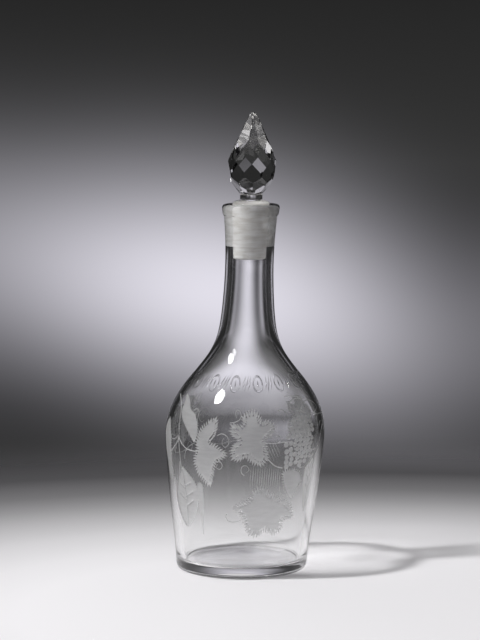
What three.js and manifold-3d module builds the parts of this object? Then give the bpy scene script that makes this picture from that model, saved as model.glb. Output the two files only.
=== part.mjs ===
import * as THREE from 'three';
import { mergeVertices } from 'three/addons/utils/BufferGeometryUtils.js';
import Module from 'manifold-3d';

// A blown glass decanter with a cut glass stopper, in millimetres, +Z up.
// The foot stands on z = 0, and the widest ring of the body is centred on x = y = 0.

// Bottle, outside
const footRadius = 41.9; // body just above the rounded foot
const footRounding = 3.2;
const standingRingWidth = 8.5; // flat ring that the bottle stands on
const kickHeight = 1.6; // hollow under the foot, at its middle
const shoulderRadius = 50.7; // widest ring of the body
const shoulderHeight = 89;
const neckRadius = 15.4; // narrowest ring of the neck
const neckHeight = 191;
const flareRadius = 16.9; // neck just below the lip
const lipRadius = 18.2;
const lipBand = 7.2; // height of the lip's band
const lipRounding = 2.4;
const lipStep = 0.7; // height of the step under the band
const lipDraft = 0.5; // how far the band's side leans out
const bottleHeight = 232.4;

// Bottle, inside
const floorThickness = 6;
const floorRounding = 5.5; // inner corner between floor and wall
const wall = 3.2; // body wall
const boreClearance = 0.7; // between the peg's foot and the neck's bore under the socket
const socketDepth = 26.4; // ground socket, down from the lip's top
const socketStep = 4; // from the socket's foot down to the plain bore
const mouthRounding = 0.7;

// Stopper
const groundClearance = 0.3; // between the ground peg and its socket
const pegDepth = 34.4; // below the lip's top
const pegTopRadius = 11.6;
const pegBottomRadius = 10.2;
const pegRounding = 1.4;
const pegShoulderHeight = 2.4; // domed shoulder above the lip's top
const grooveHeight = 0.5; // groove under the collar, and another over it
const grooveRadius = 6.3;
const collarRadius = 7.1;
const collarHeight = 3.4;
const collarRounding = 0.5;
const headHeight = 50.8;
const headRadius = 15.1;
const headFootRadius = 7; // underside of the head, on the groove over the collar
const blankAllowance = 1.5; // glass ground away at the head's widest ring
const blankShoulder = 6; // height over the head's foot where the blank is full
const facetCount = 8; // facets in each row
const facetTurn = 3.8; // degrees

// The neck leans: sideways shift for each millimetre of height
const lean = 0.026;

const bottleSegments = 48;
const stopperSegments = 40;
const curveSteps = 2; // straight steps between two stations of an outline
const cornerSteps = 3; // straight steps round a corner

const glass = { color: 0xe9efec, roughness: 0.05, metalness: 0 };

// Outlines of the body as [share of the stretch's height, share of its change in radius]
const sideShape = [[0.19, 0.18], [0.38, 0.44], [0.57, 0.68], [0.78, 0.88]];
const shoulderShape = [
  [0.07, 0.02], [0.135, 0.075], [0.21, 0.18], [0.285, 0.32], [0.36, 0.49], [0.435, 0.663],
  [0.51, 0.8], [0.585, 0.886], [0.68, 0.94], [0.82, 0.978],
];
const neckShape = [[0.45, 0.12], [0.8, 0.6]];

// Rows of flat facets on the stopper's head, from its tip down. height is a share of the head's
// height, reach a share of its radius, fall the reach lost over the head's height at that slope,
// turn the row's stagger as a share of one facet, and proud the millimetres by which the row's
// front facet is ground less deep than the others.
const facetRows = [
  { height: 0.967, reach: 0.156, fall: 3.03, turn: 0.5, proud: 0 },
  { height: 0.616, reach: 0.7, fall: 1.53, turn: 0, proud: 1.2 },
  { height: 0.616, reach: 0.79, fall: 0.65, turn: 0.5, proud: 0 },
  { height: 0.38, reach: 0.996, fall: -0.59, turn: 0, proud: 0 },
  { height: 0.262, reach: 1.1, fall: -2.52, turn: 0.5, proud: 0 },
];

const boreRadius = pegBottomRadius + boreClearance;
const headFoot = bottleHeight + pegShoulderHeight + 2 * grooveHeight + collarHeight;

const wasm = await Module();
wasm.setup();

const at = (radius, height) => new THREE.Vector2(radius, height);

// Smooth curve through a stretch's stations, from its start to its end.
function stretch(start, shape, end) {
  const middle = shape.map(([up, out]) => at(
    THREE.MathUtils.lerp(start.x, end.x, out),
    THREE.MathUtils.lerp(start.y, end.y, up),
  ));
  return [start, ...middle, end];
}

function smooth(stations) {
  return new THREE.SplineCurve(stations).getPoints((stations.length - 1) * curveSteps);
}

// Quarter round between two points, bulging towards the corner.
function round(start, corner, end) {
  return new THREE.QuadraticBezierCurve(start, corner, end).getPoints(cornerSteps);
}

function outerWall() {
  const side = stretch(at(footRadius, footRounding), sideShape, at(shoulderRadius, shoulderHeight));
  const shoulder = stretch(at(shoulderRadius, shoulderHeight), shoulderShape, at(neckRadius, neckHeight));
  const neck = stretch(at(neckRadius, neckHeight), neckShape, at(flareRadius, bottleHeight - lipBand));
  return smooth([...side, ...shoulder.slice(1), ...neck.slice(1)]);
}

// Radius of the body's outside at a height.
function outsideAt(points, height) {
  const next = points.findIndex((point) => point.y >= height);
  const [low, high] = [points[Math.max(next - 1, 0)], points[next]];
  const share = high.y > low.y ? (height - low.y) / (high.y - low.y) : 1;
  return THREE.MathUtils.lerp(low.x, high.x, share);
}

function foot() {
  const flatEdge = footRadius - footRounding;
  const kickEdge = flatEdge - standingRingWidth;
  const underside = round(at(0, kickHeight), at(kickEdge / 2, kickHeight), at(kickEdge, 0));
  return [...underside, ...round(at(flatEdge, 0), at(footRadius, 0), at(footRadius, footRounding))];
}

function lip() {
  const side = bottleHeight - lipRounding;
  const socket = pegTopRadius + groundClearance;
  const mouth = socket + mouthRounding;
  return [
    at(lipRadius - lipDraft, bottleHeight - lipBand + lipStep),
    ...round(at(lipRadius, side), at(lipRadius, bottleHeight), at(lipRadius - lipRounding, bottleHeight)),
    ...round(at(mouth, bottleHeight), at(socket, bottleHeight), at(socket, bottleHeight - mouthRounding)),
  ];
}

// Radius of the ground peg at a depth under the lip's top.
function pegRadiusAt(depth) {
  return THREE.MathUtils.lerp(pegTopRadius, pegBottomRadius, depth / pegDepth);
}

// The inside follows the outside, with the wall growing thicker up the neck.
function innerWall(outside) {
  const socketFoot = at(
    Math.max(pegRadiusAt(socketDepth) + groundClearance, boreRadius),
    bottleHeight - socketDepth,
  );
  const neckWall = neckRadius - boreRadius;
  const floorCorner = floorThickness + floorRounding;
  const inside = ({ y }) => y > floorCorner && y < socketFoot.y - socketStep;
  const body = outside.filter((point, index) => index % curveSteps === 0 && inside(point));
  const bore = body.map(({ x, y }) => {
    const slim = THREE.MathUtils.smoothstep(shoulderRadius - x, 0, shoulderRadius - neckRadius);
    return at(Math.max(x - THREE.MathUtils.lerp(wall, neckWall, slim), boreRadius), y);
  });
  const wallFoot = outsideAt(outside, floorCorner) - wall;
  const floorEdge = wallFoot - floorRounding;
  return [
    socketFoot,
    ...bore.reverse(),
    ...round(at(wallFoot, floorCorner), at(wallFoot, floorThickness), at(floorEdge, floorThickness)),
    at(0, floorThickness),
  ];
}

// Closed solid from an outline that starts and ends on the axis, turned to stand on +Z.
function turned(outline, segments) {
  const geometry = new THREE.LatheGeometry(outline, segments).rotateX(Math.PI / 2);
  return solid(geometry);
}

function solid(geometry) {
  geometry.deleteAttribute('normal');
  geometry.deleteAttribute('uv');
  const merged = mergeVertices(geometry, 1e-4);
  const triVerts = new Uint32Array(merged.index.array);
  const vertProperties = new Float32Array(merged.attributes.position.array);
  return new wasm.Manifold(new wasm.Mesh({ numProp: 3, vertProperties, triVerts }));
}

function leaning(shape, name) {
  const { vertProperties, triVerts } = shape.getMesh();
  const geometry = new THREE.BufferGeometry();
  geometry.setAttribute('position', new THREE.BufferAttribute(vertProperties, 3));
  geometry.setIndex(new THREE.BufferAttribute(triVerts, 1));
  geometry.applyMatrix4(new THREE.Matrix4().makeShear(0, 0, 0, 0, lean, 0));
  geometry.translate(-lean * shoulderHeight, 0, 0);
  geometry.computeVertexNormals();
  const mesh = new THREE.Mesh(geometry, new THREE.MeshStandardMaterial(glass));
  mesh.name = name;
  return mesh;
}

function bottle() {
  const outside = outerWall();
  return turned([...foot(), ...outside.slice(1), ...lip(), ...innerWall(outside)], bottleSegments);
}

// Ground peg, its domed shoulder above the lip, and the grooved collar under the head.
function stem() {
  const bottom = bottleHeight - pegDepth;
  const dome = bottleHeight + pegShoulderHeight;
  const collarFoot = dome + grooveHeight;
  const collarTop = collarFoot + collarHeight;
  const collarEdge = collarRadius - collarRounding;
  const pegFoot = at(pegRadiusAt(pegDepth - pegRounding), bottom + pegRounding);
  const collarLow = at(collarRadius, collarFoot + collarRounding);
  const collarHigh = at(collarRadius, collarTop - collarRounding);
  return turned([
    at(0, bottom),
    ...round(at(pegBottomRadius - pegRounding, bottom), at(pegBottomRadius, bottom), pegFoot),
    ...round(at(pegTopRadius, bottleHeight), at(pegTopRadius, dome), at(grooveRadius, dome)),
    ...round(at(collarEdge, collarFoot), at(collarRadius, collarFoot), collarLow),
    ...round(collarHigh, at(collarRadius, collarTop), at(collarEdge, collarTop)),
    at(grooveRadius, headFoot + grooveHeight),
    at(0, headFoot + grooveHeight),
  ], stopperSegments);
}

// Block whose flat side lies on one facet, with everything outside the facet inside the block.
function facetBlock(row, turn, proud) {
  const size = 2 * headHeight;
  const tilt = Math.atan(row.fall * headRadius / headHeight);
  const box = new THREE.BoxGeometry(size, size, size).translate(0, -size / 2, 0);
  box.rotateX(-tilt);
  box.translate(0, -row.reach * headRadius - proud, headFoot + row.height * headHeight);
  return solid(box.rotateZ(turn));
}

// Head of the stopper: a round blank ground flat, row by row.
function head() {
  const blankRadius = headRadius + blankAllowance;
  const blank = [
    at(0, headFoot),
    at(headFootRadius, headFoot),
    at(blankRadius, headFoot + blankShoulder),
    at(blankRadius, headFoot + headHeight),
    at(0, headFoot + headHeight),
  ];
  let cut = turned(blank, stopperSegments);
  for (const row of facetRows) {
    for (let facet = 0; facet < facetCount; facet += 1) {
      const turn = THREE.MathUtils.degToRad(facetTurn + (360 / facetCount) * (facet + row.turn));
      cut = cut.subtract(facetBlock(row, turn, facet === 0 ? row.proud : 0));
    }
  }
  return cut;
}

const decanter = new THREE.Group();
decanter.add(leaning(bottle(), 'decanter_body'));
decanter.add(leaning(stem().add(head()), 'stopper'));

export default decanter;
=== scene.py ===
"""A blown glass decanter with a cut stopper, engraved with a vine, on a pale studio floor."""

import math

import bmesh
import bpy
import numpy as np
from bpy.props import FloatProperty, FloatVectorProperty, IntProperty, PointerProperty
from bpy.types import Operator, Panel, PropertyGroup
from mathutils import Matrix, Quaternion, Vector, kdtree
from mathutils.geometry import delaunay_2d_cdt


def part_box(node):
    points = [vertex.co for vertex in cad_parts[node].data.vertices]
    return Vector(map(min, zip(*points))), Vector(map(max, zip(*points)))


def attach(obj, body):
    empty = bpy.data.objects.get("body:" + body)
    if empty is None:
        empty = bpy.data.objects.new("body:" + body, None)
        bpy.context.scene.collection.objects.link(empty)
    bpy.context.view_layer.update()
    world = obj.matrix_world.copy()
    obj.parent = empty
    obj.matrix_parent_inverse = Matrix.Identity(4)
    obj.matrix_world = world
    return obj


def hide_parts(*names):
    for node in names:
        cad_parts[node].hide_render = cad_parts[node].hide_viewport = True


bl_info = {
    "name": "Engraved decanter",
    "version": (1, 0, 0),
    "blender": (4, 5, 0),
    "location": "3D View > Sidebar > Decanter",
    "description": "Builds a glass decanter with an engraved vine and a cut stopper",
    "category": "Add Mesh",
}

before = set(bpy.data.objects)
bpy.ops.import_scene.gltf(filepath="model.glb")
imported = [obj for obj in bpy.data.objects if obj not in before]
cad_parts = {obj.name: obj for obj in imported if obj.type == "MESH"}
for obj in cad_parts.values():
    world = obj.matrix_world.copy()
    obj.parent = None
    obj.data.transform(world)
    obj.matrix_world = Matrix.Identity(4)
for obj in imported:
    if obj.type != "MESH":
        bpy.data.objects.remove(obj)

BOTTLE_NODE = "decanter_body"
STOPPER_NODE = "stopper"
BOTTLE_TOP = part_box(BOTTLE_NODE)[1].z
BOTTLE_HALF_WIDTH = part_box(BOTTLE_NODE)[1].y
PEG_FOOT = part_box(STOPPER_NODE)[0].z
STOPPER_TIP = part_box(STOPPER_NODE)[1].z


def length(name, description, default):
    """A size in metres, shown in the scene's own units."""
    return FloatProperty(name=name, description=description, default=default, unit="LENGTH", precision=5)


def count(name, description, default):
    return IntProperty(name=name, description=description, default=default, min=3)


def shade(name, description, default):
    return FloatVectorProperty(
        name=name, description=description, default=default, subtype="COLOR", min=0, max=1
    )


def amount(name, description, default):
    return FloatProperty(name=name, description=description, default=default)


def rotation(name, description, default):
    return FloatProperty(name=name, description=description, default=default, unit="ROTATION")


class BottleSizes(PropertyGroup):
    """Sizes of the blown bottle."""

    foot_radius: length("Foot radius", "Body just above the rounded foot", 0.0419)
    foot_rounding: length("Foot rounding", "Rounding of the foot's outer edge", 0.0028)
    foot_ring: length("Foot ring", "Depth of the faint rings round the foot", 0.00012)
    standing_ring: length("Standing ring", "Width of the flat ring that it stands on", 0.0085)
    kick: length("Kick", "Hollow under the foot", 0.0003)
    shoulder_radius: length("Shoulder radius", "Widest ring of the body", BOTTLE_HALF_WIDTH)
    shoulder_height: length("Shoulder height", "Height of the widest ring", 0.089)
    neck_radius: length("Neck radius", "Narrowest ring of the neck", 0.0154)
    neck_height: length("Neck height", "Height of the narrowest ring", 0.191)
    flare_radius: length("Flare radius", "Neck just below the lip", 0.0169)
    lip_radius: length("Lip radius", "Outside of the lip", 0.0182)
    lip_band: length("Lip band", "Height of the lip", 0.0072)
    lip_rounding: length("Lip rounding", "Rounding of the lip's upper edge", 0.0024)
    lip_step: length("Lip step", "Height of the step under the lip", 0.0007)
    lip_draft: length("Lip draft", "How far the lip's side leans out", 0.0005)
    height: length("Height", "Bottle without its stopper", BOTTLE_TOP)
    floor: length("Floor", "Thickness of the floor", 0.006)
    floor_rounding: length("Floor rounding", "Inner corner between floor and wall", 0.0032)
    wall: length("Wall", "Thickness of the body's wall at the shoulder", 0.0035)
    foot_wall: length("Foot wall", "Thickness of the body's wall at the foot", 0.0053)
    bore_clearance: length("Bore clearance", "Between the peg's foot and the bore", 0.0007)
    socket_depth: length("Socket depth", "Ground socket below the lip's top", 0.0264)
    socket_step: length("Socket step", "From the socket's foot to the plain bore", 0.004)
    mouth_rounding: length("Mouth rounding", "Rounding of the mouth's edge", 0.0007)
    lean: amount("Lean", "Sideways shift of the neck for each unit of height", 0.026)
    segments: count("Segments", "Steps round the bottle", 192)


class StopperSizes(PropertyGroup):
    """Sizes of the cut stopper."""

    ground_clearance: length("Ground clearance", "Between the peg and its socket", 0.0003)
    peg_top_radius: length("Peg top radius", "Peg at the lip's top", 0.0116)
    peg_bottom_radius: length("Peg bottom radius", "Peg at its foot", 0.0102)
    peg_rounding: length("Peg rounding", "Rounding of the peg's foot", 0.0014)
    peg_foot: length("Peg foot", "Height of the peg's foot", PEG_FOOT)
    dome: length("Dome", "Height of the peg's shoulder above the lip", 0.0024)
    groove: length("Groove", "Height of the grooves beside the collar", 0.0005)
    groove_radius: length("Groove radius", "Radius in the grooves", 0.0063)
    collar_radius: length("Collar radius", "Outside of the collar", 0.0071)
    collar: length("Collar", "Height of the collar", 0.0034)
    collar_rounding: length("Collar rounding", "Rounding of the collar's edges", 0.0005)
    tip: length("Tip", "Height of the stopper's tip", STOPPER_TIP)
    head_radius: length("Head radius", "Widest ring of facets", 0.0151)
    head_foot_radius: length("Head foot radius", "Underside of the head", 0.007)
    blank_allowance: length("Blank allowance", "Glass ground away at the widest ring", 0.0015)
    blank_shoulder: length("Blank shoulder", "Height over the foot where the blank is full", 0.006)
    facet_edge: length("Facet edge", "Width of the softened edge between facets", 0.00012)
    facet_turn: rotation("Facet turn", "Turn of the facets", 0.066)
    facets: count("Facets", "Facets in each row", 8)
    segments: count("Segments", "Steps round the stopper", 96)


class Finishes(PropertyGroup):
    """Colours and finishes of the glass."""

    clear: shade("Clear glass", "Tint of the polished glass", (0.995, 0.997, 0.996))
    cut: shade("Cut glass", "Tint of the stopper's head", (0.995, 0.995, 0.985))
    ground: shade("Ground glass", "Colour of the ground peg and socket", (1.0, 0.975, 0.935))
    engraved: shade("Engraved glass", "Colour of the engraving", (0.8, 0.8, 0.8))


class StageSettings(PropertyGroup):
    """The floor's colour, the plain light and the camera."""

    floor: shade("Floor", "Colour of the floor", (0.865, 0.851, 0.87))
    plain_light: amount("Plain light", "Even light from all round", 0.32)
    camera_height: length("Camera height", "Height of the camera", 0.335)
    camera_distance: length("Camera distance", "Camera to the bottle's axis", 1.45)
    camera_side: length("Camera side", "Camera's shift to its left", 0.0032)
    camera_pitch: rotation("Camera pitch", "Downward pitch", 0.121)
    camera_lens: amount("Camera lens", "Focal length in millimetres", 129.4)


# Outlines of the body as (share of the stretch's height, share of its change in radius)
SIDE_SHAPE = ((0.19, 0.18), (0.38, 0.44), (0.57, 0.68), (0.78, 0.88))
SHOULDER_SHAPE = (
    (0.07, 0.02), (0.135, 0.075), (0.21, 0.18), (0.285, 0.32), (0.36, 0.49), (0.435, 0.663),
    (0.51, 0.8), (0.585, 0.886), (0.68, 0.94), (0.82, 0.978),
)
NECK_SHAPE = ((0.45, 0.12), (0.8, 0.6))

ENGRAVED = (0.0195, 0.1334)  # heights between which the body is engraved

# Rows of facets on the stopper's head, from its tip down: share of the head's height, share of
# its radius, reach lost over the head's height at that slope, stagger in facets, and how much
# less deep the row's front facet is ground, in metres
FACET_ROWS = (
    (0.967, 0.156, 3.03, 0.5, 0),
    (0.616, 0.7, 1.53, 0, 0.0012),
    (0.616, 0.79, 0.65, 0.5, 0),
    (0.38, 0.996, -0.59, 0, 0),
    (0.262, 1.1, -2.52, 0.5, 0),
)
FACET_WELD = 2e-6  # corners of facets that lie nearer than this are one
SAME_FACET = math.radians(0.5)  # faces that meet at less than this are one facet


# Node trees

class NodeDesk:
    """Adds nodes to one tree and joins them."""

    def __init__(self, tree):
        self.tree = tree
        self.next_place = 0

    def add(self, kind, inputs=None, **settings):
        """A new node, with settings by attribute and with its inputs filled."""
        node = self.tree.nodes.new(kind)
        node.location = (220 * self.next_place, 0)
        self.next_place += 1
        for name, value in settings.items():
            setattr(node, name, value)
        return self.fill(node, inputs or {})

    def shader(self, kind, inputs=None, **settings):
        return self.add("ShaderNode" + kind, inputs, **settings)

    def geometry(self, kind, inputs=None, **settings):
        return self.add("GeometryNode" + kind, inputs, **settings)

    def feed(self, socket, value):
        """Links an output, or the first output of a node, to a socket, or sets a plain value."""
        if isinstance(value, bpy.types.Node):
            value = value.outputs[0]
        if isinstance(value, bpy.types.NodeSocket):
            self.tree.links.new(value, socket)
        else:
            socket.default_value = value

    def fill(self, node, inputs):
        """Feeds a node's inputs, by socket name or number."""
        for name, value in inputs.items():
            self.feed(node.inputs[name], value)
        return node

    def xyz(self, x=0.0, y=0.0, z=0.0):
        return self.shader("CombineXYZ", {0: x, 1: y, 2: z})

    def vector(self, operation, first, second):
        """Vector maths on two vectors, or on a vector and a number for SCALE."""
        socket = "Scale" if operation == "SCALE" else 1
        return self.shader("VectorMath", {0: first, socket: second}, operation=operation)

    def math(self, operation, *values):
        return self.shader("Math", dict(enumerate(values)), operation=operation).outputs[0]

    def squared(self, value):
        return self.math("MULTIPLY", value, value)

    def mix(self, factor, first, second, blend="MIX"):
        """A colour between two colours, or one added to or multiplied by the other."""
        values = {0: factor, 6: first, 7: second}
        return self.shader("Mix", values, data_type="RGBA", blend_type=blend).outputs[2]

    def ramp(self, value, low, high, low_out=0.0, high_out=1.0):
        """Smooth step of a value from one range to another."""
        return self.shader("MapRange", {
            "Value": value, "From Min": low, "From Max": high, "To Min": low_out, "To Max": high_out,
        }, interpolation_type="SMOOTHSTEP").outputs["Result"]

    def noise(self, scale, detail, squeeze=(1, 1, 1)):
        """Noise over the object, finer along the axes that are squeezed more."""
        place = self.shader("TexCoord").outputs["Object"]
        squeezed = self.shader("Mapping", {"Vector": place, "Scale": squeeze})
        values = {"Vector": squeezed, "Scale": scale, "Detail": detail}
        return self.shader("TexNoise", values).outputs["Fac"]

    def end_material(self, shader, share, tone=(1, 1, 1, 1)):
        """Ends a material with its shader, mixed by a share with a see-through tone."""
        clear = self.shader("BsdfTransparent", {"Color": tone})
        mixed = self.shader("MixShader", {0: share, 1: shader, 2: clear})
        self.shader("OutputMaterial", {"Surface": mixed})

    def on_points(self, points, instance, **inputs):
        """Copies of a shape on points."""
        return self.geometry("InstanceOnPoints", {"Points": points, "Instance": instance, **inputs})


def ramp_of_tones(desk, place, stops, low, high):
    """A grey colour ramp from (place, tone) stops over a range."""
    spread = desk.shader("MapRange", {"Value": place, "From Min": low, "From Max": high})
    ramp = desk.shader("ValToRGB", {0: spread.outputs["Result"]})
    elements = ramp.color_ramp.elements
    while len(elements) < len(stops):
        elements.new(0.5)
    for element, (spot, tone) in zip(elements, stops):
        element.position = (spot - low) / (high - low)
        element.color = (tone, tone, tone, 1)
    return ramp.outputs["Color"]


def shader_group(name, inputs, outputs):
    """An empty shader node group with named sockets: its tree, its desk, and what goes in and out."""
    tree = bpy.data.node_groups.new(name, "ShaderNodeTree")
    for label, default in inputs.items():
        socket = tree.interface.new_socket(label, in_out="INPUT", socket_type="NodeSocketFloat")
        socket.default_value = default
    for label, kind in outputs.items():
        tree.interface.new_socket(label, in_out="OUTPUT", socket_type=kind)
    desk = NodeDesk(tree)
    return tree, desk, desk.add("NodeGroupInput").outputs, desk.add("NodeGroupOutput").inputs


def built_once(name, build):
    """The node group of that name, built when it is first asked for."""
    return bpy.data.node_groups.get(name) or build(name)


def ripple_group(name):
    """Slow waves and fine cords that blown glass keeps, as a height."""
    tree, desk, given, result = shader_group(
        name, {"Wave size": 0.02, "Cords": 0.3}, {"Height": "NodeSocketFloat"}
    )
    scale = desk.math("DIVIDE", 1.0, given["Wave size"])
    waves = desk.noise(scale, detail=1.0, squeeze=(1, 1, 0.45))
    cords = desk.noise(desk.math("MULTIPLY", scale, 3.0), detail=0.0, squeeze=(1, 1, 0.12))
    weak = desk.math("MULTIPLY", cords, given["Cords"])
    desk.feed(result["Height"], desk.math("ADD", waves, weak))
    return tree


def grain_group(name):
    """Grain of a ground surface: a fine speckle and broader streaks left by the wheel."""
    tree, desk, given, result = shader_group(
        name, {"Grain size": 0.0003, "Streak size": 0.005},
        {"Tone": "NodeSocketFloat", "Height": "NodeSocketFloat"},
    )
    speckle = desk.noise(desk.math("DIVIDE", 1.0, given["Grain size"]), detail=2.0)
    broad = desk.math("DIVIDE", 1.0, given["Streak size"])
    streaks = desk.noise(broad, detail=3.0, squeeze=(0.6, 0.6, 3.0))
    weak = desk.math("MULTIPLY", speckle, 0.4)
    desk.feed(result["Tone"], desk.math("ADD", weak, desk.math("MULTIPLY", streaks, 0.6)))
    desk.feed(result["Height"], speckle)
    return tree


def new_material(name):
    """An empty node material, its desk and its Principled shader."""
    material = bpy.data.materials.new(name)
    material.use_nodes = True
    material.node_tree.nodes.clear()
    desk = NodeDesk(material.node_tree)
    return material, desk, desk.shader("BsdfPrincipled")


def new_glass(name, bending, clearness, openness):
    """Plain glass that lamps reach through, with more of a shadow from its steep edges."""
    material, desk, shader = new_material(name)
    desk.fill(shader, {"IOR": bending, "Transmission Weight": clearness})
    facing = desk.shader("LayerWeight", {"Blend": 0.5}).outputs["Facing"]
    tone = desk.mix(desk.ramp(facing, 0.45, 0.9), (openness, openness, openness, 1), (0, 0, 0, 1))
    desk.end_material(shader, desk.shader("LightPath").outputs["Is Shadow Ray"], tone)
    return material, desk, shader


def clear_glass(name, tint, wave_size, wave_height, bending=1.5):
    """Polished glass with faint waves in its surface and a hint of tint that varies."""
    material, desk, shader = new_glass(name, bending, clearness=1.0, openness=0.94)
    cloud = desk.noise(18.0, detail=1.0)
    darker = [0.992 * part for part in tint]
    ripples = built_once("Blown ripple", ripple_group)
    ripple = desk.shader("Group", {"Wave size": wave_size}, node_tree=ripples)
    desk.fill(shader, {
        "Base Color": desk.mix(cloud, (*tint, 1), (*darker, 1)),
        "Roughness": 0.01,
        "Normal": desk.shader("Bump", {"Height": ripple, "Distance": wave_height}),
    })
    return material


def ground_glass(name, tone, unevenness, clearness, roughness):
    """Ground glass: matt, half see-through, with the wheel's grain."""
    material, desk, shader = new_glass(name, bending=1.5, clearness=clearness, openness=0.7)
    grain = desk.shader("Group", node_tree=built_once("Ground grain", grain_group)).outputs
    pale = [min((1 + unevenness / 2) * part, 1.0) for part in tone]
    dull = [(1 - unevenness) * part for part in tone]
    bump = {"Height": grain["Height"], "Distance": 0.00004, "Strength": 0.6}
    streaks = desk.ramp(grain["Tone"], 0.38, 0.62)
    desk.fill(shader, {
        "Base Color": desk.mix(streaks, (*dull, 1), (*pale, 1)),
        "Roughness": desk.ramp(grain["Tone"], 0.35, 0.65, *roughness),
        "Normal": desk.shader("Bump", bump),
    })
    return material


# Outlines

def stretch(start, shape, end):
    """Stations between two points, placed by shares of the way up and out."""
    middle = [
        (start[0] + (end[0] - start[0]) * out, start[1] + (end[1] - start[1]) * up)
        for up, out in shape
    ]
    return [start, *middle, end]


def smooth_path(stations, steps):
    """Smooth curve through all stations: a cubic spline that is straight at both ends."""
    points = np.array(stations)
    along = np.concatenate([[0], np.cumsum(np.linalg.norm(np.diff(points, axis=0), axis=1))])
    gaps = np.diff(along)
    slopes = np.diff(points, axis=0) / gaps[:, None]
    system = np.eye(len(points))
    right = np.zeros_like(points)
    for i in range(1, len(points) - 1):
        system[i, i - 1:i + 2] = gaps[i - 1], 2 * (gaps[i - 1] + gaps[i]), gaps[i]
        right[i] = 6 * (slopes[i] - slopes[i - 1])
    bend = np.linalg.solve(system, right)
    path = [points[0]]
    for i, gap in enumerate(gaps):
        for step in range(1, steps + 1):
            far = step / steps
            near = 1 - far
            curve = (near ** 3 - near) * bend[i] + (far ** 3 - far) * bend[i + 1]
            path.append(near * points[i] + far * points[i + 1] + curve * gap * gap / 6)
    return [tuple(point) for point in path]


def rounded(start, corner, end, steps=8):
    """Quarter round between two points, bulging towards the corner."""
    path = []
    for step in range(steps + 1):
        far = step / steps
        near = 1 - far
        path.append(tuple(
            near * near * a + 2 * near * far * b + far * far * c
            for a, b, c in zip(start, corner, end)
        ))
    return path


def finer(outline, longest):
    """The outline with its long straight steps divided."""
    path = [outline[0]]
    for (r, z), (next_r, next_z) in zip(outline, outline[1:]):
        steps = max(1, math.ceil(math.hypot(next_r - r, next_z - z) / longest))
        path += [
            (r + (next_r - r) * step / steps, z + (next_z - z) * step / steps)
            for step in range(1, steps + 1)
        ]
    return path


GROUND_STEP = 0.001  # longest step along the ground peg and its socket
FOOT_RINGS = 5  # faint rings over the rounding of the foot
FOOT_STEPS = 24  # steps over that rounding


def bottle_outside(sizes, steps=7):
    """Side, shoulder and neck up to the lip, as (radius, height)."""
    foot = (sizes.foot_radius, sizes.foot_rounding)
    shoulder = (sizes.shoulder_radius, sizes.shoulder_height)
    neck = (sizes.neck_radius, sizes.neck_height)
    flare = (sizes.flare_radius, sizes.height - sizes.lip_band)
    stations = (
        stretch(foot, SIDE_SHAPE, shoulder)
        + stretch(shoulder, SHOULDER_SHAPE, neck)[1:]
        + stretch(neck, NECK_SHAPE, flare)[1:]
    )
    return smooth_path(stations, steps)


def foot_outline(sizes):
    """From the middle of the hollow underside out to the body's side."""
    flat_edge = sizes.foot_radius - sizes.foot_rounding
    kick_edge = flat_edge - sizes.standing_ring
    kick_steps = 14
    under = [
        (kick_edge * i / kick_steps, sizes.kick * (1 + math.cos(math.pi * i / kick_steps)) / 2)
        for i in range(kick_steps + 1)
    ]
    side = (sizes.foot_radius, sizes.foot_rounding)
    edge = rounded((flat_edge, 0), (sizes.foot_radius, 0), side, FOOT_STEPS)
    rings = [
        (radius - sizes.foot_ring * math.sin(FOOT_RINGS * math.pi * i / FOOT_STEPS) ** 2, height)
        for i, (radius, height) in enumerate(edge)
    ]
    return under + rings


def lip_outline(sizes, socket_radius):
    """The lip's side, its rounded top and the mouth's edge."""
    side = sizes.height - sizes.lip_rounding
    top_edge = sizes.lip_radius - sizes.lip_rounding
    mouth = socket_radius + sizes.mouth_rounding
    step = (sizes.lip_radius - sizes.lip_draft, sizes.height - sizes.lip_band + sizes.lip_step)
    over = rounded((sizes.lip_radius, side), (sizes.lip_radius, sizes.height), (top_edge, sizes.height))
    into = rounded(
        (mouth, sizes.height), (socket_radius, sizes.height),
        (socket_radius, sizes.height - sizes.mouth_rounding), 4,
    )
    return [step] + over + into


def peg_radius(stopper, depth):
    """Radius of the ground peg at a depth under the lip's top."""
    share = depth / (BOTTLE_TOP - stopper.peg_foot)
    return stopper.peg_top_radius + (stopper.peg_bottom_radius - stopper.peg_top_radius) * share


def inside_outline(sizes, stopper, outside):
    """Plain bore, shoulder, side and floor of the hollow, from the socket's foot down."""
    bore = stopper.peg_bottom_radius + sizes.bore_clearance
    neck_wall = sizes.neck_radius - bore
    floor_corner = sizes.floor + sizes.floor_rounding
    bore_top = sizes.height - sizes.socket_depth - sizes.socket_step

    def wall_at(height):
        levels = (sizes.floor, sizes.shoulder_height)
        return float(np.interp(height, levels, (sizes.foot_wall, sizes.wall)))

    hollow = []
    for radius, height in outside:
        if floor_corner < height < bore_top:
            slim = (sizes.shoulder_radius - radius) / (sizes.shoulder_radius - sizes.neck_radius)
            slim = min(max(slim, 0), 1)
            slim = slim * slim * (3 - 2 * slim)
            wall = wall_at(height)
            hollow.append((max(radius - wall - (neck_wall - wall) * slim, bore), height))
    radii, heights = zip(*outside)
    wall_foot = float(np.interp(floor_corner, heights, radii)) - wall_at(floor_corner)
    corner = rounded(
        (wall_foot, floor_corner), (wall_foot, sizes.floor),
        (wall_foot - sizes.floor_rounding, sizes.floor), 10,
    )
    return hollow[::-1] + corner + [(0, sizes.floor)]


# Meshes

def add_object(name, data):
    """A new object in the scene."""
    thing = bpy.data.objects.new(name, data)
    bpy.context.scene.collection.objects.link(thing)
    return thing


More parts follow.
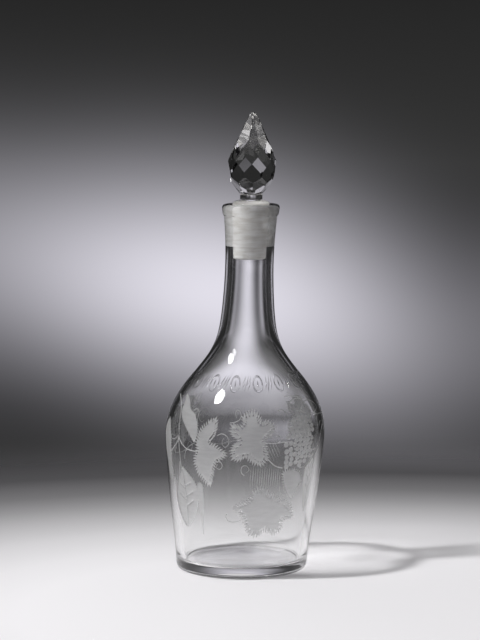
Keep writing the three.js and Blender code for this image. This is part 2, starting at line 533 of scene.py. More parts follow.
def evaluated_mesh(thing):
    """A plain mesh of what an object's modifiers make of it."""
    return bpy.data.meshes.new_from_object(thing.evaluated_get(bpy.context.evaluated_depsgraph_get()))


class Shell:
    """Points and faces of one closed piece, each face with the number of its material."""

    def __init__(self):
        self.points = []
        self.faces = []
        self.materials = []

    def add_points(self, points):
        first = len(self.points)
        self.points += points
        return list(range(first, len(self.points)))

    def add_face(self, corners, material):
        self.faces.append(corners)
        self.materials.append(material)

    def join_rings(self, lower, upper, material):
        """Faces between two rings of points, or between a ring and one point on the axis."""
        low, high = len(lower), len(upper)
        steps = max(low, high)
        for i in range(steps):
            j = (i + 1) % steps
            corners = [lower[i % low], lower[j % low], upper[j % high], upper[i % high]]
            self.add_face(list(dict.fromkeys(corners)), material)


def circle_point(radius, angle, height, lean, pivot):
    """A point at an angle from the front, to the viewer's right, on the leaning axis."""
    x = radius * math.sin(angle) + lean * (height - pivot)
    return (x, -radius * math.cos(angle), height)


def angles_round(segments):
    return [-math.pi + 2 * math.pi * i / segments for i in range(segments)]


def add_turned(shell, outline, segments, lean, pivot, material_at):
    """Turns an outline round the leaning axis."""
    previous = None
    for radius, height in outline:
        angles = angles_round(segments) if radius > 0 else [0]
        ring = shell.add_points(circle_point(radius, a, height, lean, pivot) for a in angles)
        if previous is not None:
            last_ring, last_radius, last_height = previous
            material = material_at((radius + last_radius) / 2, (height + last_height) / 2)
            shell.join_rings(last_ring, ring, material)
        previous = ring, radius, height


WELD = 5e-8  # points of a piece that lie nearer than this are one
CREASE = math.radians(35)  # edges that bend more than this are sharp


def make_object(name, shell, materials):
    """A smooth mesh object from a shell, with its faces pointing out."""
    mesh = bpy.data.meshes.new(name)
    mesh.from_pydata(shell.points, [], shell.faces, shade_flat=False)
    for material in materials:
        mesh.materials.append(material)
    mesh.polygons.foreach_set("material_index", shell.materials)
    bm = bmesh.new()
    bm.from_mesh(mesh)
    bmesh.ops.remove_doubles(bm, verts=bm.verts, dist=WELD)
    bm.edges.index_update()
    bmesh.ops.recalc_face_normals(bm, faces=bm.faces)
    if bm.calc_volume(signed=True) < 0:
        bmesh.ops.reverse_faces(bm, faces=bm.faces)
    open_edges = sum(not edge.is_manifold for edge in bm.edges)
    borders = [
        edge.index for edge in bm.edges
        if len({face.material_index for face in edge.link_faces}) > 1
    ]
    bm.to_mesh(mesh)
    bm.free()
    if open_edges:
        raise RuntimeError(f"{name} isn't closed: {open_edges} edges")
    mesh.set_sharp_from_angle(angle=CREASE)
    for i in borders:
        mesh.edges[i].use_edge_sharp = True
    return add_object(name, mesh)


# Numbers of a piece's materials
CLEAR = 0
GROUND = 1
SOCKET = 2


# Engraving: flat patterns in an unrolled plane, x along the wall and y up, pressed into the wall

def pattern_tree(name, inputs):
    """The desk of an empty geometry node tree with named inputs, and those inputs."""
    tree = bpy.data.node_groups.new(name, "GeometryNodeTree")
    tree.interface.new_socket("Geometry", in_out="OUTPUT", socket_type="NodeSocketGeometry")
    tree.interface.new_socket("Geometry", in_out="INPUT", socket_type="NodeSocketGeometry")
    kinds = {int: "NodeSocketInt", float: "NodeSocketFloat", tuple: "NodeSocketVector"}
    for label, default in inputs.items():
        socket = tree.interface.new_socket(label, in_out="INPUT", socket_type=kinds[type(default)])
        socket.default_value = default
    tree.interface.new_socket("Material", in_out="INPUT", socket_type="NodeSocketMaterial")
    desk = NodeDesk(tree)
    return desk, desk.add("NodeGroupInput").outputs


def finish_pattern(desk, given, *shapes):
    """Joins the shapes, makes instances real and sets the material. Returns the tree."""
    whole = desk.geometry("JoinGeometry")
    for shape in shapes:
        desk.feed(whole.inputs[0], shape)
    real = desk.geometry("RealizeInstances", {0: whole})
    done = desk.geometry("SetMaterial", {"Geometry": real, "Material": given["Material"]})
    desk.add("NodeGroupOutput", {"Geometry": done})
    return desk.tree


def flat_disc(desk, corners, width, height, shift=(0, 0, 0)):
    """A disc of a width and height, with a middle point that can be pressed in."""
    disc = desk.geometry("MeshCircle", {"Vertices": corners, "Radius": 0.5}, fill_type="TRIANGLE_FAN")
    size = desk.xyz(width, height, 1.0)
    return desk.geometry("Transform", {"Geometry": disc, "Translation": shift, "Scale": size})


def lens_stroke(desk, stroke_length, stroke_width, offset=0.0):
    """A pointed stroke along x, offset by a share of its length."""
    shift = desk.xyz(desk.math("MULTIPLY", stroke_length, offset))
    return flat_disc(desk, 4, stroke_length, stroke_width, shift)


def random_value(desk, low, high, seed):
    values = {2: low, 3: high, "Seed": seed}
    return desk.add("FunctionNodeRandomValue", values, data_type="FLOAT").outputs[1]


def turn_in_plane(desk, angle):
    return desk.add("FunctionNodeAxisAngleToRotation", {"Axis": (0, 0, 1), "Angle": angle})


def enabled(sockets, name):
    """The socket of that name which is in use, out of one for each type of value."""
    return next(socket for socket in sockets if socket.name == name and socket.enabled)


def smooth_curve(desk, given, spacing):
    """The source's edges as a smooth curve, with points at a spacing."""
    curve = desk.geometry("MeshToCurve", {"Mesh": given["Geometry"]})
    soft = desk.geometry("CurveSplineType", {"Curve": curve}, spline_type="CATMULL_ROM")
    return desk.geometry("ResampleCurve", {"Curve": soft, "Length": spacing}, mode="LENGTH")


def leaf_tree():
    """A leaf: a filled blade, and pointed strokes across its outline."""
    desk, given = pattern_tree("Cut leaf", {
        "Outline step": 0.0009, "Inset": 0.0022, "Tooth spacing": 0.0018, "Tooth length": 0.0056,
        "Tooth width": 0.0017, "Outward": 1.8, "Seed": 1,
    })
    tangent = desk.geometry("InputTangent")
    square = desk.vector("CROSS_PRODUCT", tangent, (0, 0, 1))
    inward = desk.vector("SCALE", square, desk.math("MULTIPLY", given["Inset"], -1.0))
    edge = smooth_curve(desk, given, given["Outline step"])
    edge = desk.geometry("SetPosition", {"Geometry": edge, "Offset": inward})
    blade = desk.geometry("FillCurve", {"Curve": edge}, mode="NGONS")
    spots = smooth_curve(desk, given, given["Tooth spacing"])
    place = desk.geometry("InputPosition")
    middle = desk.geometry("AttributeStatistic", {"Geometry": spots}, data_type="FLOAT_VECTOR")
    desk.feed(enabled(middle.inputs, "Attribute"), place)
    outward = desk.vector("SUBTRACT", place, enabled(middle.outputs, "Mean"))
    away = desk.shader("VectorMath", {0: outward}, operation="NORMALIZE")
    aim = desk.vector("ADD", square, desk.vector("SCALE", away, given["Outward"]))
    facing = desk.add("FunctionNodeAlignRotationToVector", {"Vector": aim}, axis="X", pivot_axis="Z")
    swing = turn_in_plane(desk, random_value(desk, -0.2, 0.2, given["Seed"]))
    rotations = {"Rotation": facing, "Rotate By": swing}
    turn = desk.add("FunctionNodeRotateRotation", rotations, rotation_space="LOCAL")
    size = random_value(desk, 0.7, 1.25, desk.math("ADD", given["Seed"], 7.0))
    tooth = lens_stroke(desk, given["Tooth length"], given["Tooth width"], -0.18)
    return finish_pattern(desk, given, blade, desk.on_points(spots, tooth, Rotation=turn, Scale=size))


def flat_ribbon(desk, curve, width, scale):
    """A flat band along a curve, with a middle line that can be pressed in."""
    half = desk.math("MULTIPLY", width, 0.5)
    start = desk.xyz(desk.math("MULTIPLY", half, -1.0))
    line = desk.geometry("CurvePrimitiveLine", {"Start": start, "End": desk.xyz(half)})
    profile = desk.geometry("ResampleCurve", {"Curve": line, "Count": 3}, mode="COUNT")
    upright = desk.geometry("SetCurveNormal", {"Curve": curve}, mode="Z_UP")
    return desk.geometry("CurveToMesh", {"Curve": upright, "Profile Curve": profile, "Scale": scale})


def stem_tree():
    """A stem or tendril: a cut line that grows thinner towards its end."""
    desk, given = pattern_tree("Cut stem", {"Step": 0.0011, "Width": 0.0008, "End width": 0.45})
    curve = smooth_curve(desk, given, given["Step"])
    along = desk.geometry("SplineParameter").outputs["Factor"]
    less = desk.math("SUBTRACT", 1.0, given["End width"])
    scale = desk.math("SUBTRACT", 1.0, desk.math("MULTIPLY", along, less))
    return finish_pattern(desk, given, flat_ribbon(desk, curve, given["Width"], scale))


def grape_tree():
    """Grapes: an oval on each point, a little varied in size and turn."""
    desk, given = pattern_tree("Cut grapes", {
        "Width": 0.0039, "Height": 0.003, "Spread": 0.07, "Shift": 0.0003, "Seed": 3,
    })
    oval = flat_disc(desk, 10, given["Width"], given["Height"])
    seed = given["Seed"]
    low = desk.math("SUBTRACT", 1.0, given["Spread"])
    high = desk.math("ADD", 1.0, given["Spread"])
    turn = desk.xyz(z=random_value(desk, -0.25, 0.25, seed))
    sideways = random_value(desk, -1.0, 1.0, desk.math("ADD", seed, 11.0))
    upwards = random_value(desk, -1.0, 1.0, desk.math("ADD", seed, 12.0))
    shift = desk.vector("SCALE", desk.xyz(sideways, upwards), given["Shift"])
    spots = desk.geometry("SetPosition", {"Geometry": given["Geometry"], "Offset": shift})
    size = random_value(desk, low, high, seed)
    return finish_pattern(desk, given, desk.on_points(spots, oval, Rotation=turn, Scale=size))


def hatch_tree():
    """A row of parallel strokes that starts at the source's point."""
    desk, given = pattern_tree("Cut hatching", {
        "Count": 8, "Step": (0.0015, 0.0, 0.0), "Stroke length": 0.012, "Stroke width": 0.00035,
        "Slant": 1.57, "Seed": 5,
    })
    line = desk.geometry("MeshLine", {"Count": given["Count"], "Offset": given["Step"]})
    stroke = lens_stroke(desk, given["Stroke length"], given["Stroke width"])
    size = random_value(desk, 0.8, 1.1, given["Seed"])
    row = desk.on_points(line, stroke, Rotation=turn_in_plane(desk, given["Slant"]), Scale=size)
    return finish_pattern(desk, given, desk.on_points(given["Geometry"], row))


def band_tree():
    """A band of ovals with slanted strokes between them, repeated along x from the source's point."""
    desk, given = pattern_tree("Cut band", {
        "Units": 8, "Pitch": 0.02, "Oval width": 0.0082, "Oval height": 0.0088, "Line width": 0.0012,
        "Stroke length": 0.01, "Slant": 1.2, "Strokes": 3, "Stroke step": 0.0025,
    })
    line = desk.geometry("MeshLine", {"Count": given["Units"], "Offset": desk.xyz(given["Pitch"])})
    circle = desk.geometry("CurvePrimitiveCircle", {"Resolution": 22, "Radius": 0.5})
    size = desk.xyz(given["Oval width"], given["Oval height"], 1.0)
    oval = desk.geometry("Transform", {"Geometry": circle, "Scale": size})
    ring = flat_ribbon(desk, oval, given["Line width"], 1.0)
    kernel = lens_stroke(desk, desk.math("MULTIPLY", given["Oval height"], 0.5), given["Line width"])
    broader = desk.math("MULTIPLY", given["Line width"], 1.4)
    stroke = lens_stroke(desk, given["Stroke length"], broader)
    breadth = desk.math("MULTIPLY", given["Stroke step"], desk.math("SUBTRACT", given["Strokes"], 1.0))
    between = desk.math("MULTIPLY", given["Pitch"], 0.5)
    steps = desk.geometry("MeshLine", {
        "Count": given["Strokes"],
        "Start Location": desk.xyz(desk.math("MULTIPLY_ADD", breadth, -0.5, between)),
        "Offset": desk.xyz(given["Stroke step"]),
    })
    strokes = desk.on_points(steps, stroke, Rotation=turn_in_plane(desk, given["Slant"]))
    parts = (
        desk.on_points(line, ring),
        desk.on_points(line, kernel, Rotation=turn_in_plane(desk, math.pi / 2)),
        desk.on_points(line, strokes),
    )
    units = desk.geometry("JoinGeometry")
    for part in parts:
        desk.feed(units.inputs[0], desk.geometry("RealizeInstances", {0: part}))
    return finish_pattern(desk, given, desk.on_points(given["Geometry"], units))


class Pattern:
    """The engraving as flat points and faces. Plain ones stay uncut, bright ones are cut and polished."""

    def __init__(self, radius, material):
        self.radius = radius
        self.material = material
        self.points = []
        self.faces = []
        self.plain = set()
        self.bright = set()

    def flat(self, spot):
        """Unrolled place of a spot given in degrees round from the front and millimetres up."""
        degrees, height = spot
        return (math.radians(degrees) * self.radius, height / 1000, 0)

    def grow(self, tree, spots, joined=True, closed=False, plain=False, bright=False, **values):
        """Runs a tree on lines of spots, or on spots as points, and keeps its faces."""
        mesh = bpy.data.meshes.new("pattern")
        edges = []
        places = []
        for line in spots if joined else [spots]:
            first = len(places)
            places += [self.flat(spot) for spot in line]
            last = len(places) - 1
            if joined:
                edges += [(i, i + 1) for i in range(first, last)]
            if closed:
                edges.append((last, first))
        mesh.from_pydata(places, edges, [])
        source = add_object("pattern", mesh)
        modifier = source.modifiers.new(tree.name, "NODES")
        modifier.node_group = tree
        values["Material"] = self.material
        for item in tree.interface.items_tree:
            key = item.name.replace(" ", "_")
            if item.in_out == "INPUT" and key in values:
                modifier[item.identifier] = values[key]
        shape = evaluated_mesh(source)
        if not shape.polygons:
            raise RuntimeError(f"{tree.name} made no faces")
        first = len(self.points)
        self.points += [(v.co.x, v.co.y) for v in shape.vertices]
        for polygon in shape.polygons:
            if plain:
                self.plain.add(len(self.faces))
            if bright:
                self.bright.add(len(self.faces))
            self.faces.append([first + i for i in polygon.vertices])
        for data in (shape, mesh):
            bpy.data.meshes.remove(data)


# Outlines of the leaves: degrees round from the front, to the viewer's right, and millimetres up
LEAVES = {
    "star": (
        (0.6, 106.1), (6.1, 106.9), (10.3, 104.5), (11.6, 100.7), (15.5, 101.5), (20, 99.4), (20.9, 96.3),
        (18.1, 92.7), (14.2, 89.5), (15.1, 84.7), (16, 79.1), (13.5, 74.8), (9.5, 74.6), (5.4, 76.7),
        (1.4, 79.4), (-3.1, 78.1), (-7.4, 77.7), (-9.4, 80.6), (-9.2, 84.7), (-6.7, 87.5), (-4.2, 89),
        (-6.5, 91.7), (-9.6, 94), (-10.3, 98.1), (-8.8, 99.8), (-4.7, 98.2), (-1.8, 100.6), (-2.3, 103.9),
    ),
    "half": (
        (-36.4, 82.2), (-36.4, 87.3), (-34.7, 94.2), (-31.7, 98), (-27.1, 101.2), (-22.6, 102.9),
        (-21, 99.2), (-21.8, 93.3), (-25.4, 88.2), (-20.9, 86.4), (-16.4, 83.8), (-13.1, 81.5),
        (-15.5, 78.6), (-20.2, 75.8), (-21.9, 72.2), (-23.6, 66), (-25.4, 60.9), (-28.9, 61.5),
        (-33.5, 65.7), (-37.2, 71), (-38.6, 76.9),
    ),
    "lower": (
        (7.4, 57.5), (12.6, 59.9), (17, 57.2), (22.3, 54.3), (29.2, 51.2), (35.3, 48.6), (40, 43.9),
        (40.2, 38.7), (32.6, 37.5), (31.8, 32.3), (25.7, 29.2), (17.9, 31.8), (11.6, 28.9), (5.1, 30.1),
        (2.3, 35.4), (0.3, 40), (-4.1, 44.7), (-7.1, 47.2), (-1.8, 50.2), (4.1, 52.4),
    ),
    "lance": (
        (-61.9, 114.6), (-54, 111.9), (-47.7, 106.8), (-40.8, 103.6), (-36.6, 97.2), (-36.6, 91.3),
        (-38.7, 86.9), (-43.7, 91.6), (-49.7, 96.9), (-56, 102.1), (-58.4, 105.7), (-59.3, 110.5),
    ),
    "bud": (
        (-51.7, 70.3), (-44.1, 66.1), (-38.9, 61.6), (-35.9, 55.7), (-36.5, 47.4), (-40.8, 38.7),
        (-49, 31.6), (-54.8, 34.8), (-59.3, 41.4), (-61.9, 49.4), (-59.9, 56.9), (-55.5, 63.7),
    ),
    "spike": (
        (-36.7, 60.8), (-32, 60.7), (-31.2, 51), (-31.7, 40.6), (-32.9, 27.5), (-34.5, 38.3),
        (-36.3, 49.5),
    ),
    "pale": (
        (28.7, 69.2), (35.4, 70.3), (44.1, 68.2), (47.1, 62.7), (43.8, 56.9), (38, 50.4), (33, 55),
        (29.4, 62.5),
    ),
    "side": (
        (-75, 98.5), (-70.8, 97.1), (-66, 87.8), (-66.3, 77.5), (-65.7, 67.4), (-65.6, 59.1),
        (-72.5, 60.1), (-75.6, 67.9), (-79.3, 77.7), (-81.6, 87.6), (-79.5, 93.8),
    ),
}

# Inset, length and width of the pointed strokes round a leaf, where they aren't the usual ones
TEETH = {
    "half": (0.0014, 0.0042, 0.0014),
    "lance": (0.0002, 0.0012, 0.0005),
    "bud": (0.0003, 0.0014, 0.0006),
    "spike": (0.0001, 0.0005, 0.0003),
    "side": (0.0006, 0.0022, 0.0009),
    "pale": (0.001, 0.0026, 0.001),
}

# Veins of the leaves, left polished
VEINS = {
    "bud": (
        ((-51.5, 68.5), (-48.5, 52), (-49, 34)), ((-49, 58), (-43, 60.5)), ((-49, 51), (-41, 55)),
        ((-49, 45), (-41.5, 49)), ((-49, 56), (-55.5, 59)), ((-49, 49), (-57, 53)),
    ),
}

# Stems and tendrils of the front
STEMS = (
    (
        (-75.4, 113.2), (-62.5, 108.2), (-57.1, 101), (-55.3, 93.2), (-54.8, 88.8), (-54.2, 81.2),
        (-52.6, 69.2),
    ),
    ((-53.9, 73.1), (-55.7, 63.6), (-57.5, 58.4)),
    ((-54.8, 88.8), (-57.1, 84.9), (-62.6, 80.6), (-68.2, 77.6)),
    ((-54.8, 88.8), (-52, 85.6), (-46, 82.2), (-36.4, 81.2)),
    ((28.4, 71.5), (23.9, 72.6), (20.1, 74.8), (14, 80)),
    ((78.1, 96.3), (71.2, 91.1), (67.1, 83.6), (59.1, 76.5), (50.6, 71), (43.7, 70.3)),
    ((41, 99), (44.3, 103.3), (45.9, 106)),
)
TENDRILS = (
    ((-56.5, 89.1), (-60.4, 86.7), (-66.1, 86.8), (-64.2, 89.1), (-61, 88.6)),
    ((-43.9, 106.1), (-42, 107.4), (-38.7, 106.1), (-38.1, 102.8), (-37.5, 99)),
    ((-45.9, 81.7), (-47.7, 79), (-48.2, 75.4)),
    ((-11.5, 100.5), (-8, 101), (-4.6, 102.5), (-3.6, 105.3), (-5.7, 108.1), (-7.7, 107.1), (-7, 103.4)),
    (
        (-20.2, 92.4), (-16.7, 93.8), (-12.5, 91.8), (-11.6, 87.8), (-14.1, 85.5), (-16.4, 87.7),
        (-15.4, 91.2),
    ),
    ((-21.1, 75.8), (-17.5, 76), (-16, 73.5), (-18, 71.2), (-20.5, 72.3), (-19.6, 74.5)),
    ((0, 67.8), (-2.3, 69.8), (-1.8, 73.4), (1.5, 73.9), (3.3, 71.3), (1.4, 69.6)),
    ((-12.7, 42.9), (-13.3, 40.3), (-10.2, 37.8), (-3.9, 38.2), (0.9, 40.6)),
    ((37.4, 107.6), (38.2, 110.9), (44, 112.8), (51, 112.7), (51, 109.3), (45.9, 106), (40.1, 106.5)),
    ((45.9, 106), (56.8, 110.7), (68, 109.1), (71.3, 105.2), (61.6, 102.9), (53.5, 104.3)),
    ((45.9, 106), (54.7, 103.2), (82.5, 100.2)),
    ((34.7, 115), (42.9, 114.6), (52.4, 113.4), (57.4, 112.1)),
)

# The bunch of grapes: for each row its height, first and last grape, and the loose grapes beside it
GRAPE_ROWS = (
    (101.4, 38, 55.5), (98.7, 36, 56.5), (96, 35, 57), (93.3, 33.5, 57), (90.6, 32, 57),
    (87.9, 37, 57), (85.2, 37.8, 56.5), (82.5, 38, 56), (79.8, 38.2, 55.5), (77.1, 39, 54.5),
    (74.4, 39.5, 52), (71.9, 41, 47),
)
GRAPE_STEP = 4.2
LOOSE_GRAPES = (
    (30, 86.3), (34, 86.5), (34.3, 82.9), (30.6, 81.7), (34.8, 79.8), (31.1, 78.1), (35.5, 76.7),
    (31.1, 75.1), (35.1, 73.4), (31.3, 72.1),
)

# Ornament that the back repeats: the degrees that its middle goes to, its own middle, mirrored or not
BACK_CURLS = ((128, 5, True), (-125, 5, False))
CURLS = slice(3, 8)  # the tendrils that they repeat
BACK_BUNCH = (-100, 43, True)
BACK_LEAVES = (
    ("star", 128, 5, True), ("lance", 101, -47, True), ("bud", 103, -49, False), ("star", -125, 5, False),
)
BACK_STEMS = (
    ((92, 75), (105, 72), (120, 70), (140, 72.5), (158, 70), (176, 73)),
    ((-176, 73), (-160, 70), (-140, 73), (-118, 69), (-100, 71), (-90, 68)),
    ((103, 72), (102, 78), (99, 88)), ((-100, 102), (-104, 108), (-112, 111)),
)

# Hatching: where it starts, the number of strokes, the step between them, their length and slant
HATCHES = (
    ((16.2, 81.9), 5, (0.0016, 0.0006, 0), 0.0125, -1.13),
    ((4.5, 66.6), 14, (0.0015, -0.0001, 0), 0.0145, 1.55),
)

# Band of ornament across the front: height of its middle, where it starts, and how many ovals it has
BAND_LEVEL = 122.8
BAND_START = -78.75
BAND_UNITS = 8


def moved(spots, target, middle, mirrored):
    """Spots turned round the bottle so that their middle comes to another place."""
    way = -1 if mirrored else 1
    return [(target + way * (degrees - middle), height) for degrees, height in spots]


def turning_left(spots):
    """A closed outline in the direction that keeps its inside to the left."""
    pairs = zip(spots, [*spots[1:], spots[0]])
    area = sum(x * next_y - next_x * y for (x, y), (next_x, next_y) in pairs)
    return list(spots) if area > 0 else list(spots)[::-1]


def bunch():
    """Places of the grapes in the bunch's rows."""
    places = []
    for number, (height, first, last) in enumerate(GRAPE_ROWS):
        start = first + GRAPE_STEP / 2 * (number % 2)
        steps = int((last - start) / GRAPE_STEP) + 1
        places += [(start + GRAPE_STEP * step, height) for step in range(steps)]
    return places


def vine_pattern(radius, material):
    """The engraved vine all round the body and the band of ornament above it."""
    pattern = Pattern(radius, material)
    leaf, stem, grapes, hatch, band = leaf_tree(), stem_tree(), grape_tree(), hatch_tree(), band_tree()
    leaves = [(name, outline, VEINS.get(name, ())) for name, outline in LEAVES.items()]
    for name, *place in BACK_LEAVES:
        veins = [moved(vein, *place) for vein in VEINS.get(name, ())]
        leaves.append((name, moved(LEAVES[name], *place), veins))
    for number, (name, outline, veins) in enumerate(leaves):
        teeth = dict(zip(("Inset", "Tooth_length", "Tooth_width"), TEETH.get(name, ())))
        pattern.grow(leaf, [turning_left(outline)], closed=True, Seed=number, **teeth)
        if veins:
            pattern.grow(stem, veins, plain=True, Width=0.00026, End_width=0.4)
    pattern.grow(stem, [*STEMS, *BACK_STEMS], Width=0.0009, End_width=0.6)
    curls = [moved(line, *place) for place in BACK_CURLS for line in TENDRILS[CURLS]]
    for lines in (TENDRILS, curls):
        pattern.grow(stem, lines, Width=0.0005, End_width=0.5)
    pattern.grow(grapes, bunch(), joined=False)
    pattern.grow(grapes, LOOSE_GRAPES, joined=False, Width=0.0034, Height=0.0033)
    pattern.grow(grapes, moved(bunch(), *BACK_BUNCH), joined=False, Seed=9)
    for spot, strokes, step, stroke_length, slant in HATCHES:
        pattern.grow(
            hatch, [spot], joined=False,
            Count=strokes, Step=step, Stroke_length=stroke_length, Slant=slant,
        )
    pitch = math.radians(-2 * BAND_START / (BAND_UNITS - 1)) * radius
    pattern.grow(
        band, [(BAND_START, BAND_LEVEL)], joined=False, bright=True, Units=BAND_UNITS, Pitch=pitch
    )
    return pattern


def inside(points, outline):
    """Which of the points lie inside a closed outline."""
    x, y = points[:, 0], points[:, 1]
    result = np.zeros(len(points), bool)
    for (x0, y0), (x1, y1) in zip(outline, [*outline[1:], outline[0]]):
        if y0 != y1:
            crossing = x0 + (y - y0) * (x1 - x0) / (y1 - y0)
            result ^= ((y0 > y) != (y1 > y)) & (x < crossing)
    return result


CUT_DEPTH = 0.00025  # of the broad cuts
CUT_EDGE = 0.00035  # over which a cut falls to its depth
BLADE_STEP = 0.0008  # points inside the blades of the leaves
BLADE_CORNERS = 30  # faces with more corners are blades
NEAR = 1e-7  # distance at which a cut passes through a point
ON_WALL = 2e-6  # points that lie nearer than this to the wall's curve belong to it


def blade_points(pattern, columns, heights):
    """Points of an even lattice that lie inside the blades of the leaves."""
    lattice = np.array([
        (x, z) for z in np.arange(heights[1], heights[-2], BLADE_STEP)
        for x in np.arange(columns[1], columns[-2], BLADE_STEP)
    ])
    spots = np.array(pattern.points)
    points = []
    for face in pattern.faces:
        if len(face) > BLADE_CORNERS:
            outline = spots[face]
            in_box = (lattice > outline.min(axis=0)) & (lattice < outline.max(axis=0))
            near = lattice[in_box.all(axis=1)]
            points += [tuple(point) for point in near[inside(near, outline)]]
    return points


def cut_rims(flat, triangles, cut):
    """Which points lie inside the cuts, and a search tree of points along the edges of the cuts."""
    touches_cut = np.zeros(len(flat), bool)
    touches_wall = np.zeros(len(flat), bool)
    sides = {}
    for triangle, is_cut in zip(triangles, cut):
        (touches_cut if is_cut else touches_wall)[list(triangle)] = True
        for a, b in zip(triangle, [*triangle[1:], triangle[0]]):
            sides.setdefault((min(a, b), max(a, b)), []).append(is_cut)
    rims = [flat[i] for i in np.nonzero(touches_cut & touches_wall)[0]]
    rims += [(flat[a] + flat[b]) / 2 for (a, b), pair in sides.items() if len(set(pair)) == 2]
    tree = kdtree.KDTree(len(rims))
    for number, spot in enumerate(rims):
        tree.insert((*spot, 0), number)
    tree.balance()
    return touches_cut & ~touches_wall, tree


def engraved_wall(shell, sizes, heights, reach_at, pattern):
    """The outer wall between two heights, with the pattern pressed into it."""
    columns = [angle * pattern.radius for angle in [*angles_round(sizes.segments), math.pi]]
    points = [(x, z) for z in heights for x in columns]
    faces = [[len(points) + i for i in face] for face in pattern.faces]
    points += pattern.points + blade_points(pattern, columns, heights)
    vectors = [Vector(point) for point in points]
    flat, _, triangles, _, _, covers = delaunay_2d_cdt(vectors, [], faces, 0, NEAR, True)
    cut = [bool(cover) and pattern.plain.isdisjoint(cover) for cover in covers]
    in_cut, rims = cut_rims(flat, triangles, cut)
    places = []
    for (x, z), pressed in zip(flat, in_cut):
        distance = rims.find((x, z, 0))[2] if pressed else 0
        reach = reach_at(z) - CUT_DEPTH * (1 - math.exp(-distance / CUT_EDGE))
        places.append(circle_point(reach, x / pattern.radius, z, sizes.lean, sizes.shoulder_height))
    ring = shell.add_points(places)
    for triangle, is_cut, cover in zip(triangles, cut, covers):
        matt = is_cut and pattern.bright.isdisjoint(cover)
        shell.add_face([ring[i] for i in triangle], GROUND if matt else CLEAR)


def polish_wall(thing, sizes, reach_at):
    """Gives the polished outer wall the normals of its true round shape."""
    mesh = thing.data
    places = np.zeros(3 * len(mesh.vertices))
    mesh.vertices.foreach_get("co", places)
    x, y, z = places.reshape(-1, 3).T
    x = x - sizes.lean * (z - sizes.shoulder_height)
    around = np.hypot(x, y)
    step = 1e-5
    slope = (reach_at(z + step) - reach_at(z - step)) / (2 * step)
    top = sizes.height - sizes.lip_band
    in_range = (z > sizes.foot_rounding + step) & (z < top - step)
    on_wall = in_range & (np.abs(around - reach_at(z)) < ON_WALL)
    outward = np.stack([x / np.maximum(around, step), y / np.maximum(around, step), -slope], axis=1)
    outward[:, 2] -= sizes.lean * outward[:, 0]
    outward /= np.linalg.norm(outward, axis=1)[:, None]
    normals = np.zeros((len(mesh.loops), 3))
    for polygon in mesh.polygons:
        corners = list(polygon.vertices)
        if polygon.material_index == CLEAR and on_wall[corners].all():
            normals[list(polygon.loop_indices)] = outward[corners]
    mesh.normals_split_custom_set(normals.tolist())


def build_bottle(sizes, stopper, finishes):
    """The blown bottle, with its ground socket."""
    outside = bottle_outside(sizes)
    socket = peg_radius(stopper, 0) + stopper.ground_clearance
    bore = stopper.peg_bottom_radius + sizes.bore_clearance
    socket_foot = max(peg_radius(stopper, sizes.socket_depth) + stopper.ground_clearance, bore)
    socket_top = (socket, sizes.height - sizes.mouth_rounding)
    socket_wall = finer([socket_top, (socket_foot, sizes.height - sizes.socket_depth)], GROUND_STEP)
    low, high = (min(range(len(outside)), key=lambda i: abs(outside[i][1] - level)) for level in ENGRAVED)
    outline = outside[high:] + lip_outline(sizes, socket) + socket_wall[1:]
    outline += inside_outline(sizes, stopper, outside)
    fine = np.array(bottle_outside(sizes, 42))

    def reach_at(height):
        return np.interp(height, fine[:, 1], fine[:, 0])

    def material_at(radius, height):
        in_socket = sizes.height - sizes.socket_depth < height < sizes.height - sizes.mouth_rounding
        return SOCKET if in_socket and radius < socket + sizes.mouth_rounding / 4 else CLEAR

    materials = [
        clear_glass("Blown glass", finishes.clear, wave_size=0.03, wave_height=0.00005),
        ground_glass("Engraved glass", finishes.engraved, 0.09, clearness=0.7, roughness=(0.4, 0.5)),
        ground_glass("Ground socket", finishes.ground, 0.25, clearness=0.55, roughness=(0.35, 0.45)),
    ]
    shell = Shell()
    foot = foot_outline(sizes) + outside[1:low + 1]
    add_turned(shell, foot, sizes.segments, sizes.lean, sizes.shoulder_height, material_at)
    heights = [height for _, height in outside[low:high + 1]]
    engraved_wall(shell, sizes, heights, reach_at, vine_pattern(sizes.shoulder_radius, materials[GROUND]))
    add_turned(shell, outline, sizes.segments, sizes.lean, sizes.shoulder_height, material_at)
    bottle = make_object("engraved_bottle", shell, materials)
    polish_wall(bottle, sizes, reach_at)
    return bottle


def stem_outline(sizes):
    """Ground peg, its domed shoulder, and the collar between two grooves."""
    depth = BOTTLE_TOP - sizes.peg_foot
    dome = BOTTLE_TOP + sizes.dome
    collar_foot = dome + sizes.groove
    collar_top = collar_foot + sizes.collar
    collar_edge = sizes.collar_radius - sizes.collar_rounding
    foot = (peg_radius(sizes, depth - sizes.peg_rounding), sizes.peg_foot + sizes.peg_rounding)
    side = finer([foot, (sizes.peg_top_radius, BOTTLE_TOP)], GROUND_STEP)
    return (
        [(0, sizes.peg_foot)]
        + rounded((sizes.peg_bottom_radius - sizes.peg_rounding, sizes.peg_foot),
                  (sizes.peg_bottom_radius, sizes.peg_foot), foot)
        + side[1:]
        + rounded((sizes.peg_top_radius, BOTTLE_TOP), (sizes.peg_top_radius, dome),
                  (sizes.groove_radius, dome), 12)[1:]
        + rounded((collar_edge, collar_foot), (sizes.collar_radius, collar_foot),
                  (sizes.collar_radius, collar_foot + sizes.collar_rounding))
        + rounded((sizes.collar_radius, collar_top - sizes.collar_rounding),
                  (sizes.collar_radius, collar_top), (collar_edge, collar_top))
    )


